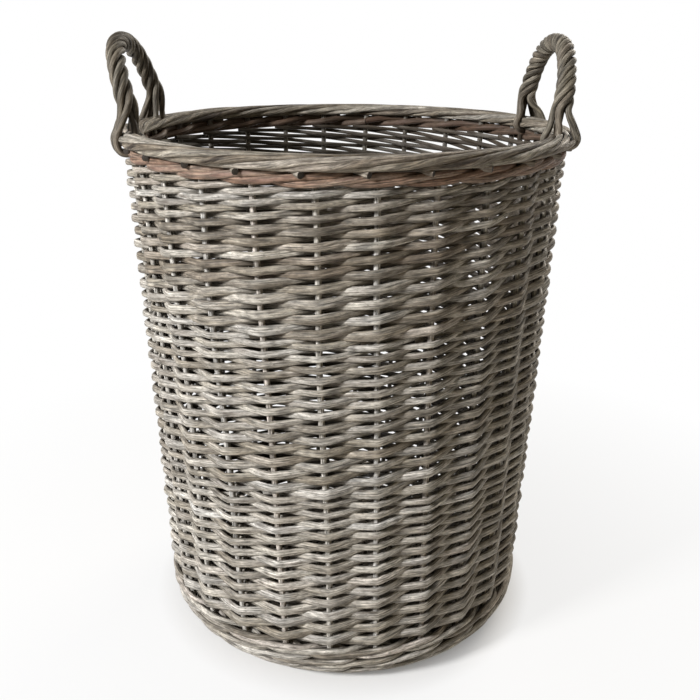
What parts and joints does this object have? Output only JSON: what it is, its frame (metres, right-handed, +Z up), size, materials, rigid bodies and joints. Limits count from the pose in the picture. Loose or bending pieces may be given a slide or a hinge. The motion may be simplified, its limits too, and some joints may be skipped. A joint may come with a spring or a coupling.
{
  "type": "woven laundry basket",
  "caption": "Tall round willow laundry basket with a flared woven wall, a rolled rod border and two fixed roped handles, open at the top.",
  "frame": {"origin": "centre of the foot ring on the floor", "axes": "+Z up along the basket's axis, +X towards one handle, -Y towards the front"},
  "size_m": [0.4595, 0.4594, 0.627],
  "materials": {
    "willow_weave": "weathered grey willow, split grain, matt",
    "willow_stake": "weathered grey willow, matt",
    "willow_base": "grey-brown willow, matt",
    "willow_upsett": "weathered grey willow, matt",
    "willow_wale": "reddish brown willow bark, matt",
    "willow_border": "weathered grey-brown willow, matt",
    "willow_handle": "weathered brown willow, matt"
  },
  "bodies": {
    "root": {"base_half_stick": "willow_base", "base_pierced_stick_1": "willow_base", "base_pierced_stick_2": "willow_base", "base_pierced_stick_3": "willow_base", "base_through_stick_1": "willow_base", "base_through_stick_2": "willow_base", "base_through_stick_3": "willow_base", "base_weave_top": "willow_base", "base_weave_under": "willow_base", "border": "willow_border", "left_handle_bow": "willow_handle", "left_handle_first_lashing": "willow_handle", "left_handle_rope": "willow_handle", "left_handle_second_lashing": "willow_handle", "lower_courses": "willow_weave", "lower_weave": "willow_weave", "middle_courses": "willow_weave", "middle_weave": "willow_weave", "right_handle_bow": "willow_handle", "right_handle_first_lashing": "willow_handle", "right_handle_rope": "willow_handle", "right_handle_second_lashing": "willow_handle", "stake_01": "willow_stake", "stake_02": "willow_stake", "stake_03": "willow_stake", "stake_04": "willow_stake", "stake_05": "willow_stake", "stake_06": "willow_stake", "stake_07": "willow_stake", "stake_08": "willow_stake", "stake_09": "willow_stake", "stake_10": "willow_stake", "stake_11": "willow_stake", "stake_12": "willow_stake", "stake_13": "willow_stake", "stake_14": "willow_stake", "stake_15": "willow_stake", "stake_16": "willow_stake", "stake_17": "willow_stake", "stake_18": "willow_stake", "stake_19": "willow_stake", "stake_20": "willow_stake", "stake_21": "willow_stake", "stake_22": "willow_stake", "stake_23": "willow_stake", "stake_24": "willow_stake", "stake_25": "willow_stake", "stake_26": "willow_stake", "top_wale": "willow_wale", "upper_courses": "willow_weave", "upper_weave": "willow_weave", "upsett_lining": "willow_upsett", "upsett_wale": "willow_upsett"}
  },
  "joints": []
}
